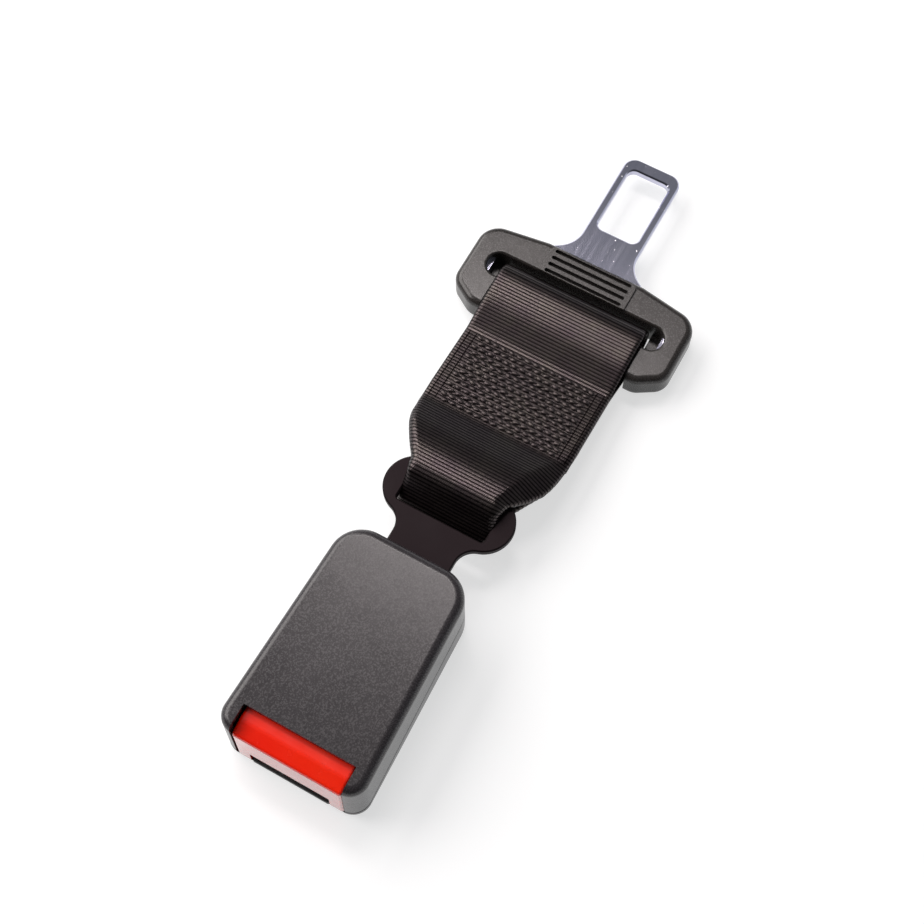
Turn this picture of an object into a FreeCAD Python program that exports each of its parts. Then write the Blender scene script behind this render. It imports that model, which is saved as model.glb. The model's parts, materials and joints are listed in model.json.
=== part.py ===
import FreeCAD, Part
import math
import os

V = FreeCAD.Vector

# Seat belt extender: a buckle with a red release button, a short sewn loop of webbing,
# and a latch tongue in a moulded cover. Millimetres, X along the strap with the tongue
# at +X, Z up, origin under the middle of the whole part on the surface it lies on.
# A name that ends in _at is a distance behind the top of the buckle's front.

# Lengths that follow one another along the strap
front_lean = 1.2         # the buckle front's foot stands this far ahead of its top
anchor_gap = 25.7        # buckle rear end to the middle of the anchor bar
strap_span = 62.5        # anchor bar to tongue bar, middle to middle
blade_length = 41.0      # tongue ahead of its cover

# Gaps between pieces
button_gap = 0.3
running_gap = 0.3
pin_gap = 0.15
fit_gap = 0.2

# Tongue
tongue_thick = 2.8
tongue_low_z = 4.4
blade_half = 9.45
blade_corner = 4.0
window_tip_wall = 4.1    # from the tip to the window
window_length = 24.1
window_half = 6.95
window_corner = 2.4
flare_half = 15.0        # where the flare's edge runs out of the cover
flare_margin = 1.0       # this far ahead of the cover
flare_length = 3.5       # straight run of the flare
flare_round = 9.0
flare_reach = 8.0        # ahead of the cover, where the blade has its full straightness
shoulder_length = 5.0
plate_half = 31.0
plate_corner = 4.0
tongue_bevel = 0.45

# Buckle covers
cover_wall = 2.0
cover_roof = 2.2
cover_cheek = 5.05       # beside the button's cutout, at the front
cover_taper = 2.25       # each side, over the length of the buckle
cover_front_corner = 5.5
cover_rear_corner = 9.5
cover_top_round = 2.6
cover_bottom_round = 3.0
seam_front_z = 4.6
seam_rear_z = 12.6
seam_lip_height = 1.2
seam_bevel = 0.35
cutout_depth = 7.8
roof_gap = 0.4           # roof above the button
rib_thick = 1.4
floor_rib_length = 5.0
floor_rib_spread = 26.0
rib_setback = 6.6        # first rib behind the frame's front end
roof_rib_setback = 26.6
roof_rib_pitch = 8.0

# Steel frame, with heights above the top of its base
frame_thick = 2.4
frame_wall = 2.2
blade_side_gap = 1.35    # between the tongue's edge and the frame's wall
frame_corner = 2.6
frame_rear_drop = 3.0    # the walls' rear part is lower by this
frame_rear_length = 13.0
frame_end_margin = 3.1   # base behind the anchor plate's bend
bar_edge = 0.8           # steel above the lock bar's track

# Mouth guide
guide_length = 9.2
guide_cheek = 1.5
mouth_side_gap = 1.15    # between the tongue's edge and the mouth's
mouth_height = 4.4
mouth_corner = 0.6
guide_lip_round = 0.7

# Release button
button_travel = 6.0
button_front_wall = 3.0
button_front_drop = 1.6  # the top slopes down by this to the front edge
button_slope_length = 4.2
button_shelf_length = 14.0
button_shelf_thick = 2.4
button_flange = 0.6      # head wider than the arms by this, each side
button_arm_length = 38.0
button_arm_thick = 2.9
button_arm_rise = 1.2    # arm's underside above the frame's base
button_arm_slant = 4.0   # the arm's end is lower by this
arm_window_gap = 0.5
shelf_gap = 1.2          # shelf above the frame's walls

# Latch, its pin, lock bar and ejector, with heights above the frame's base
latch_length = 27.8      # hook's front face to the pin
latch_thick = 2.0
latch_side_gap = 1.2
latch_rise = 7.8
latch_eye_wall = 1.6
hook_setback = 1.2       # behind the ejector's front end
hook_length = 3.0
hook_half = 5.4
hook_drop = 4.0
hook_bevel = 1.3
pin_diameter = 4.0
pin_rise = 8.0
ejector_front_at = 21.0
ejector_length = 14.0
ejector_height = 3.2
ejector_travel = 10.0
ejector_pocket_length = 6.5
lock_bar_diameter = 3.0
lock_bar_setback = 8.3   # behind the hook's front face
lock_bar_rise = 11.8
lock_bar_drop_x = 4.0
lock_bar_drop_z = 4.4

# Springs, their coils drawn as straight pieces of six-sided wire
coil_sides = 6
coil_steps = 12          # pieces in each turn
button_spring_radius = 1.9
button_spring_wire = 0.7
button_spring_length = 14.0
button_spring_turns = 7
button_spring_rise = 6.6
spring_side_gap = 0.25
spring_post_thick = 2.4
ejector_spring_radius = 1.25
ejector_spring_wire = 0.5
ejector_spring_turns = 9
ejector_stop_gap = 0.3   # left behind the ejector at the end of its travel
ejector_stop_length = 2.8
ejector_stop_height = 3.2
latch_spring_wire = 0.9
latch_spring_turns = 4
spring_pack_half = 2.6   # half the width of the torsion spring's coils

# Anchor plate and its rivets
anchor_thick = 2.6
anchor_rise = 7.3        # the plate is cranked up by this behind its tail
anchor_neck_half = 10.0
anchor_ear_radius = 9.2
anchor_half = 20.3
anchor_neck_blend = 6.0
anchor_bar_width = 7.0
anchor_slot_length = 8.0
anchor_slot_corner = 1.0
anchor_tail_length = 6.6
anchor_bend_round = 1.2
anchor_edge = 0.4
crank_room = 1.0         # between the bend and the covers' rear wall
rivet_y = 6.2
rivet_diameter = 3.6
rivet_head_diameter = 6.0
rivet_head_height = 1.1
rivet_head_bevel = 0.5

# Webbing and its stitching
web_half = 24.0
web_thick = 1.3
web_fold_thick = 2.2     # folded double where it narrows to the anchor
web_fold_half = 13.6
web_side_gap = 0.5       # between the folded webbing and the ends of the anchor's slot
web_layers = 3
stitch_start = 22.5      # from the middle of the anchor bar
stitch_length = 23.5
stitch_half = 19.5
stitch_thread = 0.9
stitch_height = 0.35
stitch_rows = 9
stitch_columns = 5
overlap_margin = 2.0
fold_start = 1.6         # from the middle of the anchor bar to where it widens
fold_end = 19.5
fold_inner_round = 8.0
fold_outer_round = 10.0
eye_gap = 0.3            # between an eye and its bar's corners
eye_slack = 0.6          # between an eye's far end and the slot's edge
eye_neck = 7.0           # inside of the anchor eye, short of the sewn stack
tongue_eye_neck = 3.0

# Tongue cover
bar_width = 9.0
bar_height = 5.0
bar_corner = 2.3
bar_z = 6.2
bar_half = 24.6
bar_core_width = 4.6
shell_half = 36.0
shell_thick = 10.0
shell_front_web = 10.7   # from the webbing's slot to the front edge
shell_front_half = 16.0
shell_front_slant = 3.0
shell_front_corner = 7.0
shell_horn = 2.5         # how far the cover's ends reach behind the bar
shell_horn_length = 5.0
shell_horn_width = 8.0
shell_horn_round = 6.0
shell_rear_corner = 5.5
shell_top_round = 2.2
shell_bottom_round = 2.8
strap_slot_length = 7.8
strap_slot_half = 29.5
slot_lip_round = 0.8
slot_web_low = 1.0       # a thin web closes each end of the slot between these heights
slot_web_high = 3.4
plate_slot_margin = 1.2  # the steel's slot is larger than the cover's by this
grip_half = 14.6
grip_rise = 0.6
grip_corner = 1.5
grip_setback = 1.4       # grip pad behind the cover's front edge
groove_count = 4
groove_pitch = 2.4
groove_width = 1.2
groove_half = 12.85
groove_depth = 1.3
groove_setback = 2.5     # first groove's middle behind the cover's front edge

# Widths of the buckle, worked out from the tongue's blade outwards
mouth_half = blade_half + mouth_side_gap
frame_inner_half = blade_half + blade_side_gap
frame_outer_half = frame_inner_half + frame_wall
notch_half = mouth_half + guide_cheek + button_gap
button_arm_half = frame_outer_half + button_gap + button_arm_thick
button_half = button_arm_half + button_flange
button_spring_y = frame_outer_half + spring_side_gap + button_spring_radius + button_spring_wire / 2
cover_front_half = button_half + button_gap + cover_cheek
cover_rear_half = cover_front_half - cover_taper
latch_half = frame_inner_half - latch_side_gap
ejector_half = frame_inner_half - 2 * running_gap

# Heights, from the floor of the buckle upwards
floor_z = cover_wall
base_top_z = floor_z + frame_thick
latch_low_z = base_top_z + latch_rise
hook_low_z = latch_low_z - hook_drop
pin_z = base_top_z + pin_rise
ejector_top_z = base_top_z + ejector_height
lock_bar_z = base_top_z + lock_bar_rise
frame_top_z = lock_bar_z + lock_bar_diameter / 2 + running_gap + bar_edge
frame_rear_top_z = frame_top_z - frame_rear_drop
button_top_z = frame_top_z + shelf_gap + button_shelf_thick
button_spring_z = base_top_z + button_spring_rise
roof_z = button_top_z + roof_gap
cover_height = roof_z + cover_roof
anchor_z = base_top_z + anchor_rise + anchor_thick / 2

# Places behind the button's front
frame_start_at = guide_length + fit_gap
hook_at = ejector_front_at + hook_setback
ejector_pocket_at = ejector_front_at + ejector_length - ejector_pocket_length
ejector_stop_at = ejector_front_at + ejector_length + ejector_travel + ejector_stop_gap
lock_bar_at = hook_at + lock_bar_setback
pin_at = hook_at + latch_length
spring_post_at = button_arm_length + button_spring_length
anchor_tail_at = ejector_stop_at + ejector_stop_length + fit_gap
rivet_at = anchor_tail_at + rivet_head_diameter / 2
anchor_bend_at = anchor_tail_at + anchor_tail_length
anchor_corner = anchor_thick * math.tan(math.radians(22.5))
frame_end_at = anchor_bend_at + frame_end_margin
buckle_length = anchor_bend_at + anchor_corner + anchor_rise + crank_room + cover_wall

# Places along the strap
slot_reach = bar_width / 2 + strap_slot_length
tongue_reach = slot_reach + shell_front_web + blade_length
overall_length = front_lean + buckle_length + anchor_gap + strap_span + tongue_reach
x_front = -overall_length / 2 + front_lean
x_rear = x_front + buckle_length
x_anchor = x_rear + anchor_gap
x_bar = x_anchor + strap_span
x_tip = x_bar + tongue_reach
x_shell_front = x_tip - blade_length
seam_slope = (seam_rear_z - seam_front_z) / buckle_length
big = 400.0


def at(distance):
    """X of a place given by its distance behind the top of the buckle's front."""
    return x_front + distance


def block(x0, x1, y0, y1, z0, z1):
    """Box between two corners, with its Y limits in either order."""
    return Part.makeBox(x1 - x0, abs(y1 - y0), z1 - z0, V(x0, min(y0, y1), z0))


def sym_block(x0, x1, half, z0, z1):
    return block(x0, x1, -half, half, z0, z1)


def rounded_wire(points, radii):
    """Closed wire through the points, each corner rounded by its own radius."""
    edges = []
    ends = []
    count = len(points)
    for i in range(count):
        here = points[i]
        back = points[i - 1].sub(here).normalize()
        ahead = points[(i + 1) % count].sub(here).normalize()
        radius = radii[i]
        if radius <= 0:
            ends.append((here, None, here))
            continue
        half_angle = back.getAngle(ahead) / 2
        reach = radius / math.tan(half_angle)
        middle = back.add(ahead).normalize()
        to_middle = radius / math.sin(half_angle) - radius
        ends.append((here + back * reach, here + middle * to_middle, here + ahead * reach))
    for i in range(count):
        start, middle, end = ends[i]
        if middle is not None:
            edges.append(Part.Arc(start, middle, end).toShape())
        following = ends[(i + 1) % count][0]
        if end.distanceToPoint(following) > 1e-6:
            edges.append(Part.LineSegment(end, following).toShape())
    return Part.Wire(edges)


def plan_solid(points, radii, z0, z1):
    """Outline in plan, given as (x, y) corners, raised from z0 to z1."""
    wire = rounded_wire([V(x, y, z0) for x, y in points], radii)
    return Part.Face(wire).extrude(V(0, 0, z1 - z0))


def side_solid(points, radii, y0, y1):
    """Outline seen from the side, given as (x, z) corners, drawn out from y0 to y1."""
    wire = rounded_wire([V(x, y0, z) for x, z in points], radii)
    return Part.Face(wire).extrude(V(0, y1 - y0, 0))


def front_solid(points, radii, x0, x1):
    """Outline seen from the front, given as (y, z) corners, drawn out from x0 to x1."""
    wire = rounded_wire([V(x0, y, z) for y, z in points], radii)
    return Part.Face(wire).extrude(V(x1 - x0, 0, 0))


def mirrored(half_points):
    """Corners of the +Y side followed by their mirror images, for a symmetric outline."""
    return half_points + [(x, -y) for x, y in reversed(half_points)]


def cross_cylinder(radius, x, z, half):
    return Part.makeCylinder(radius, 2 * half, V(x, -half, z), V(0, 1, 0))


def upright_cylinder(diameter, x, y, z0, z1):
    return Part.makeCylinder(diameter / 2, z1 - z0, V(x, y, z0))


def level_edges(shape, z):
    """Edges that lie wholly at one height."""
    found = []
    for edge in shape.Edges:
        box = edge.BoundBox
        if abs(box.ZMin - z) < 1e-4 and abs(box.ZMax - z) < 1e-4:
            found.append(edge)
    return found


def lies_on(edge, solid):
    """Whether the middle of an edge lies on a solid's surface."""
    middle = edge.valueAt((edge.FirstParameter + edge.LastParameter) / 2)
    return solid.Shells[0].distToShape(Part.Vertex(middle))[0] < 1e-4


def coil(radius, wire_diameter, length, turns):
    """Spring along +Z from the origin, its wire's middle at the given radius."""
    rise = length - wire_diameter
    count = turns * coil_steps
    points = []
    for i in range(count + 1):
        angle = math.tau * i / coil_steps
        points.append(V(radius * math.cos(angle), radius * math.sin(angle),
                        wire_diameter / 2 + rise * i / count))
    ring = Part.makeCircle(wire_diameter / 2, points[0], points[1] - points[0])
    corners = [ring.valueAt(math.tau * i / coil_sides) for i in range(coil_sides)]
    section = Part.makePolygon(corners + corners[:1])
    mitred = 1
    return Part.makePolygon(points).makePipeShell([section], True, True, mitred)


def lengthwise_coil(radius, wire_diameter, turns, start_at, end_at, y, z):
    """Compression spring along X between two places in the buckle."""
    spring = coil(radius, wire_diameter, end_at - start_at, turns)
    spring.rotate(V(0, 0, 0), V(0, 1, 0), 90)
    spring.translate(V(at(start_at), y, z))
    return spring


def cover_wire(inset, z):
    """Buckle's outline at one height, set in evenly from its outer surface."""
    slant = cover_taper / buckle_length
    lean = front_lean * (1 - z / cover_height)
    front = x_front - lean + inset
    rear = x_rear - inset
    front_half = cover_front_half + slant * (lean - inset) - inset
    rear_half = cover_rear_half + slant * inset - inset
    points = [(front, front_half), (front, -front_half), (rear, -rear_half), (rear, rear_half)]
    radii = [cover_front_corner - inset] * 2 + [cover_rear_corner - inset] * 2
    return rounded_wire([V(x, y, z) for x, y in points], radii)


def cover_body(inset, z0, z1):
    """The buckle's leaning body between two heights."""
    return Part.makeLoft([cover_wire(inset, z0), cover_wire(inset, z1)], True, True)


def under_seam(rise):
    """Everything below the sloping seam, moved up by rise."""
    reach = buckle_length
    front_z = seam_front_z - seam_slope * reach + rise
    rear_z = seam_rear_z + seam_slope * reach + rise
    corners = [(x_front - reach, -big), (x_rear + reach, -big),
               (x_rear + reach, rear_z), (x_front - reach, front_z)]
    return side_solid(corners, [0] * 4, -big / 2, big / 2)


def cutout(z0):
    """Room for the button, from a height upwards."""
    return sym_block(x_front - 2 * front_lean, at(cutout_depth), button_half + button_gap, z0, big)


def hollow_covers():
    """Outer body of the buckle with its cavity and front opening, before it is parted."""
    outer = cover_body(0, 0, cover_height)
    outer = outer.makeFillet(cover_top_round, level_edges(outer, cover_height))
    outer = outer.makeFillet(cover_bottom_round, level_edges(outer, 0))
    outer = outer.cut(cover_body(cover_wall, floor_z, roof_z))
    return outer.cut(cutout(floor_z))


def seam_ring(inner_inset, outer_inset, rise):
    """Band inside the covers' walls that stands above the seam by rise."""
    ring = cover_body(outer_inset, 0, cover_height).cut(cover_body(inner_inset, 0, cover_height))
    ring = ring.common(under_seam(rise)).cut(under_seam(0))
    return ring.cut(cutout(0))


def seam_groove():
    """Small bevel cut along the outside of the seam, shared by both covers."""
    groove = cover_body(-1, 0, cover_height).cut(cover_body(seam_bevel, 0, cover_height))
    return groove.common(under_seam(seam_bevel)).cut(under_seam(-seam_bevel))


def anchor_slot_cut():
    """Gap in the covers' rear wall for the anchor plate."""
    clear = anchor_thick / 2 + fit_gap
    return sym_block(x_rear - cover_wall - 1, x_rear + 1, anchor_neck_half + fit_gap,
                     anchor_z - clear, anchor_z + clear)


def lower_cover():
    shell = hollow_covers().common(under_seam(0)).cut(seam_groove())
    ring = seam_ring(cover_wall, (cover_wall + fit_gap) / 2, seam_lip_height)
    shell = shell.fuse(ring).cut(anchor_slot_cut())
    sunk = floor_z - cover_wall / 4
    inside = cover_body(cover_wall / 2, 0, cover_height)
    for side in (-1, 1):
        # Ribs that locate the frame
        for i in range(2):
            start = at(frame_start_at + rib_setback + i * floor_rib_spread)
            shell = shell.fuse(block(start, start + floor_rib_length, side * frame_outer_half,
                                     side * (frame_outer_half + rib_thick),
                                     sunk, base_top_z + button_arm_rise / 2))
        # Post that the button spring pushes on
        post = block(at(spring_post_at), at(spring_post_at + spring_post_thick),
                     side * (frame_outer_half + fit_gap), side * cover_front_half,
                     sunk, button_spring_z + button_spring_radius)
        shell = shell.fuse(post.common(inside))
        # Hollow round the rivet's head
        shell = shell.cut(upright_cylinder(rivet_head_diameter + 2 * button_gap, at(rivet_at),
                                           side * rivet_y, floor_z - rivet_head_height - fit_gap / 2,
                                           floor_z + 1))
    return shell.removeSplitter()


def upper_cover():
    shell = hollow_covers().cut(under_seam(0)).cut(seam_groove())
    rebate = cover_body((cover_wall - fit_gap) / 2, 0, cover_height)
    rebate = rebate.common(under_seam(seam_lip_height + fit_gap / 2)).cut(under_seam(-1))
    shell = shell.cut(rebate).cut(anchor_slot_cut())
    # Ribs under the roof that hold the frame down
    for side in (-1, 1):
        for i in range(2):
            start = at(frame_start_at + roof_rib_setback + i * roof_rib_pitch)
            shell = shell.fuse(block(start, start + rib_thick, side * frame_inner_half,
                                     side * frame_outer_half, frame_top_z, roof_z + cover_roof / 4))
    return shell.removeSplitter()


def buckle_frame():
    frame = sym_block(at(frame_start_at), at(frame_end_at), frame_outer_half, floor_z, base_top_z)
    wall_start = frame_start_at + frame_corner / 2
    rear_start = frame_end_at - frame_rear_length
    side = [(at(wall_start), floor_z), (at(frame_end_at), floor_z),
            (at(frame_end_at), base_top_z + frame_corner / 2),
            (at(frame_end_at - 1.4 * frame_corner), frame_rear_top_z),
            (at(rear_start), frame_rear_top_z), (at(rear_start - frame_rear_drop), frame_top_z),
            (at(wall_start + 2 * frame_corner), frame_top_z),
            (at(wall_start), base_top_z + 2 * frame_corner)]
    for lean in (-1, 1):
        frame = frame.fuse(side_solid(side, [0, 0] + [frame_corner] * 6,
                                      lean * frame_inner_half, lean * frame_outer_half))
    # Slanted tracks for the lock bar, and holes for the latch pin
    through = frame_outer_half + 1
    track = lock_bar_diameter / 2 + running_gap
    high = V(at(lock_bar_at), 0, lock_bar_z)
    low = high - V(lock_bar_drop_x, 0, lock_bar_drop_z)
    across = (high - low).normalize().cross(V(0, 1, 0)) * track
    corners = [low + across, high + across, high - across, low - across]
    frame = frame.cut(side_solid([(p.x, p.z) for p in corners], [0] * 4, -through, through))
    for end in (low, high):
        frame = frame.cut(cross_cylinder(track, end.x, end.z, through))
    frame = frame.cut(cross_cylinder(pin_diameter / 2, at(pin_at), pin_z, through))
    # Window in the base that the hook drops into, and the rivet holes
    window_half = hook_half + 1
    window = mirrored([(at(hook_at - hook_length / 2), window_half),
                       (at(hook_at + 2 * hook_length), window_half)])
    frame = frame.cut(plan_solid(window, [1] * 4, floor_z - 1, base_top_z + 1))
    for y in (-rivet_y, rivet_y):
        frame = frame.cut(upright_cylinder(rivet_diameter, at(rivet_at), y, floor_z - 1, base_top_z + 1))
    return frame.removeSplitter()


def mouth_guide():
    front = x_front - front_lean
    guide = sym_block(front, at(guide_length), notch_half - button_gap, floor_z, base_top_z)
    front_edges = [e for e in guide.Edges if e.BoundBox.XMax < front + 1e-4]
    guide = guide.makeFillet(guide_lip_round, front_edges)
    cheek = [(at(0), base_top_z - 1), (at(guide_length), base_top_z - 1),
             (at(guide_length), base_top_z + mouth_height - fit_gap),
             (at(0), base_top_z + mouth_height - fit_gap)]
    for side in (-1, 1):
        guide = guide.fuse(side_solid(cheek, [0, 0, 0, 2 * guide_lip_round],
                                      side * mouth_half, side * (mouth_half + guide_cheek)))
    return guide.removeSplitter()


def front_at(z):
    """How far the leaning front lies from its top at some height, as a place."""
    return -front_lean * (1 - z / cover_height)


def release_button():
    foot_z = floor_z + fit_gap
    shelf_z = button_top_z - button_shelf_thick
    edge_z = button_top_z - button_front_drop
    profile = [(at(front_at(foot_z)), foot_z), (at(button_front_wall), foot_z),
               (at(button_front_wall), shelf_z), (at(button_shelf_length), shelf_z),
               (at(button_shelf_length), button_top_z), (at(button_slope_length), button_top_z),
               (at(front_at(edge_z)), edge_z)]
    head = side_solid(profile, [0.6, 0, 1.5, 0.8, 0.8, 3.0, 1.4], -button_half, button_half)
    # The tongue's mouth
    notch_top = base_top_z + mouth_height
    notch = [(notch_half, -1), (notch_half, notch_top), (-notch_half, notch_top), (-notch_half, -1)]
    head = head.cut(front_solid(notch, [0, mouth_corner, mouth_corner, 0],
                                at(-2 * front_lean), at(button_front_wall + 1)))
    front_corners = [e for e in head.Edges if e.BoundBox.YLength < 1e-3
                     and abs(abs(e.BoundBox.YMin) - button_half) < 1e-3
                     and e.BoundBox.ZLength > cover_height / 2
                     and e.BoundBox.XMax < at(button_front_wall / 2)]
    head = head.makeFillet(1.0, front_corners)
    # Arms along the outside of the frame, each with a window round the lock bar's end
    reach = lock_bar_diameter / 2 + arm_window_gap
    window_start = lock_bar_at - lock_bar_drop_x - button_travel - reach
    window_end = lock_bar_at + reach
    window_low = lock_bar_z - lock_bar_drop_z - reach
    window_high = lock_bar_z + reach
    window = [(at(window_start), window_low), (at(window_end), window_low),
              (at(window_end), window_high), (at(window_start), window_high)]
    arm_low = base_top_z + button_arm_rise
    root = button_front_wall / 2
    arm = [(at(root), arm_low), (at(button_arm_length), arm_low),
           (at(button_arm_length), shelf_z - button_arm_slant),
           (at(window_end + 1), shelf_z), (at(root), shelf_z)]
    for side in (-1, 1):
        inner = side * (frame_outer_half + button_gap)
        outer = side * button_arm_half
        bar = side_solid(arm, [0, 2, 2, 3, 0], inner, outer)
        bar = bar.cut(side_solid(window, [1.2] * 4, inner - side, outer + side))
        joint = block(at(root), at(button_shelf_length), inner, outer,
                      shelf_z - 1, shelf_z + button_shelf_thick / 2)
        head = head.fuse(bar).fuse(joint)
    return head.removeSplitter()


def latch():
    eye = pin_diameter / 2 + pin_gap
    outer = eye + latch_eye_wall
    plate = [(at(hook_at), latch_low_z), (at(pin_at), latch_low_z),
             (at(pin_at), latch_low_z + latch_thick), (at(hook_at), latch_low_z + latch_thick)]
    body = side_solid(plate, [0, 0, 0, 0.6 * latch_thick], -latch_half, latch_half)
    body = body.fuse(cross_cylinder(outer, at(pin_at), pin_z, latch_half))
    body = body.cut(cross_cylinder(eye, at(pin_at), pin_z, latch_half + 1))
    root_z = latch_low_z + latch_thick / 4
    hook = [(at(hook_at), hook_low_z + hook_bevel), (at(hook_at + hook_bevel), hook_low_z),
            (at(hook_at + hook_length), hook_low_z), (at(hook_at + hook_length), root_z),
            (at(hook_at), root_z)]
    body = body.fuse(side_solid(hook, [0.5, 0.5, 0.3, 0, 0], -hook_half, hook_half))
    # Middle of the rolled eye left open for the torsion spring
    gap = spring_pack_half + running_gap
    body = body.cut(sym_block(at(pin_at) - outer - 1, at(pin_at) + outer + 1, gap, 0, big))
    return body.removeSplitter()


def latch_pin():
    """Plain pin, peened a little proud of the frame on both sides."""
    return cross_cylinder(pin_diameter / 2, at(pin_at), pin_z, frame_outer_half + button_gap / 2)


def latch_spring():
    """Torsion spring round the pin, in the open middle of the latch's eye."""
    # The straight pieces come nearer to the pin than their corners
    bore = (pin_diameter / 2 + pin_gap) / math.cos(math.pi / coil_steps)
    spring = coil(bore + latch_spring_wire / 2, latch_spring_wire, 2 * spring_pack_half, latch_spring_turns)
    spring.rotate(V(0, 0, 0), V(1, 0, 0), -90)
    spring.translate(V(at(pin_at), -spring_pack_half, pin_z))
    return spring


def lock_bar():
    bar = cross_cylinder(lock_bar_diameter / 2, at(lock_bar_at), lock_bar_z, button_arm_half - fit_gap)
    return bar.makeChamfer(lock_bar_diameter / 8, [e for e in bar.Edges if e.BoundBox.YLength < 1e-4])


def ejector():
    low = base_top_z + fit_gap
    start = ejector_front_at
    end = start + ejector_length
    body = plan_solid(mirrored([(at(start), ejector_half), (at(end), ejector_half)]), [1] * 4,
                      low, ejector_top_z)
    # Ramp that the hook rides down, between two side rails that the tongue pushes
    ramp_end = hook_at + 1.4 * hook_length
    ramp = [(at(start - 1), low + running_gap), (at(ramp_end), ejector_top_z),
            (at(ramp_end), big), (at(start - 1), big)]
    rail = hook_half + fit_gap + running_gap
    body = body.cut(side_solid(ramp, [0] * 4, -rail, rail))
    pocket = ejector_spring_radius + ejector_spring_wire / 2 + fit_gap
    body = body.cut(sym_block(at(ejector_pocket_at), at(end + 1), pocket, 0, big))
    return body.removeSplitter()


def ejector_stop():
    """Moulded block between the frame's walls that the ejector spring pushes on."""
    top = base_top_z + ejector_stop_height
    body = sym_block(at(ejector_stop_at), at(ejector_stop_at + ejector_stop_length),
                     frame_inner_half, base_top_z, top)
    return body.makeChamfer(ejector_stop_length / 5, level_edges(body, top))


def button_spring(side):
    return lengthwise_coil(button_spring_radius, button_spring_wire, button_spring_turns,
                           button_arm_length, spring_post_at, side * button_spring_y, button_spring_z)


def ejector_spring():
    z = base_top_z + fit_gap + running_gap + ejector_spring_radius
    return lengthwise_coil(ejector_spring_radius, ejector_spring_wire, ejector_spring_turns,
                           ejector_pocket_at, ejector_stop_at, 0, z)


def anchor_bend():
    """The cranked plate seen from the side, from its riveted tail to its front edge."""
    low = base_top_z
    high = low + anchor_rise
    front = x_anchor + anchor_bar_width / 2
    under = at(anchor_bend_at) + anchor_corner
    points = [(at(anchor_tail_at), low), (under, low), (under + anchor_rise, high), (front, high),
              (front, high + anchor_thick), (at(anchor_bend_at) + anchor_rise, high + anchor_thick),
              (at(anchor_bend_at), low + anchor_thick), (at(anchor_tail_at), low + anchor_thick)]
    inner = anchor_bend_round
    outer = inner + anchor_thick
    return side_solid(points, [0, outer, inner, 0, 0, outer, inner, 0], -anchor_half - 1, anchor_half + 1)


def anchor_outline():
    """Plan of the plate: a straight neck that blends into two round ears."""
    ear = V(x_anchor + anchor_bar_width / 2 - anchor_ear_radius, anchor_half - anchor_ear_radius, 0)
    blend_y = anchor_neck_half + anchor_neck_blend
    centres = anchor_ear_radius + anchor_neck_blend
    blend = V(ear.x - math.sqrt(centres ** 2 - (blend_y - ear.y) ** 2), blend_y, 0)
    toward = (blend - ear).normalize()
    turn = math.atan2(toward.y, toward.x)

    def on_circle(centre, radius, angle):
        return centre + V(radius * math.cos(angle), radius * math.sin(angle), 0)

    neck = blend - V(0, anchor_neck_blend, 0)
    blend_middle = on_circle(blend, anchor_neck_blend, (turn + math.pi + 1.5 * math.pi) / 2)
    touch = on_circle(ear, anchor_ear_radius, turn)
    ear_middle = on_circle(ear, anchor_ear_radius, turn / 2)
    front = on_circle(ear, anchor_ear_radius, 0)
    tail = V(at(anchor_tail_at), anchor_neck_half, 0)
    upper = [Part.LineSegment(tail, neck).toShape(), Part.Arc(neck, blend_middle, touch).toShape(),
             Part.Arc(touch, ear_middle, front).toShape()]
    lower = [edge.mirror(V(0, 0, 0), V(0, 1, 0)) for edge in reversed(upper)]
    across = Part.LineSegment(front, V(front.x, -front.y, 0)).toShape()
    back = Part.LineSegment(V(tail.x, -tail.y, 0), tail).toShape()
    return Part.Wire(Part.__sortEdges__(upper + [across] + lower + [back]))


def anchor_plate():
    plate = anchor_bend().common(Part.Face(anchor_outline()).extrude(V(0, 0, cover_height)))
    top = anchor_z + anchor_thick / 2
    bottom = anchor_z - anchor_thick / 2
    slot_front = x_anchor - anchor_bar_width / 2
    slot_half = web_fold_half + web_side_gap
    slot = mirrored([(slot_front - anchor_slot_length, slot_half), (slot_front, slot_half)])
    plate = plate.cut(plan_solid(slot, [anchor_slot_corner] * 4, bottom - 1, top + 1))
    for y in (-rivet_y, rivet_y):
        plate = plate.cut(upright_cylinder(rivet_diameter, at(rivet_at), y, floor_z, bottom))
    edges = [e for e in level_edges(plate, top) + level_edges(plate, bottom)
             if e.BoundBox.XMin > x_rear + 2]
    return plate.makeChamfer(anchor_edge, edges).removeSplitter()


def frame_rivets():
    """Two rivets that hold the anchor plate's tail to the frame."""
    rivets = []
    base = floor_z - rivet_head_height
    low = floor_z
    high = base_top_z + anchor_thick
    crown = high + rivet_head_height
    for y in (-rivet_y, rivet_y):
        shank = upright_cylinder(rivet_diameter, at(rivet_at), y, base, crown)
        lower = upright_cylinder(rivet_head_diameter, at(rivet_at), y, base, low)
        upper = upright_cylinder(rivet_head_diameter, at(rivet_at), y, high, crown)
        lower = lower.makeChamfer(rivet_head_bevel, level_edges(lower, base))
        upper = upper.makeChamfer(rivet_head_bevel, level_edges(upper, crown))
        rivets.append(shank.fuse(lower).fuse(upper).removeSplitter())
    return Part.makeCompound(rivets)


def strap_line(x):
    """Middle height of the strap between its two bars."""
    share = (x - x_anchor) / strap_span
    return anchor_z + (bar_z - anchor_z) * share


def eye_radius(width, height, corner):
    """Distance from a bar's middle to its farthest rounded corner, with clearance."""
    return math.hypot(width / 2 - corner, height / 2 - corner) + corner + eye_gap


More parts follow.
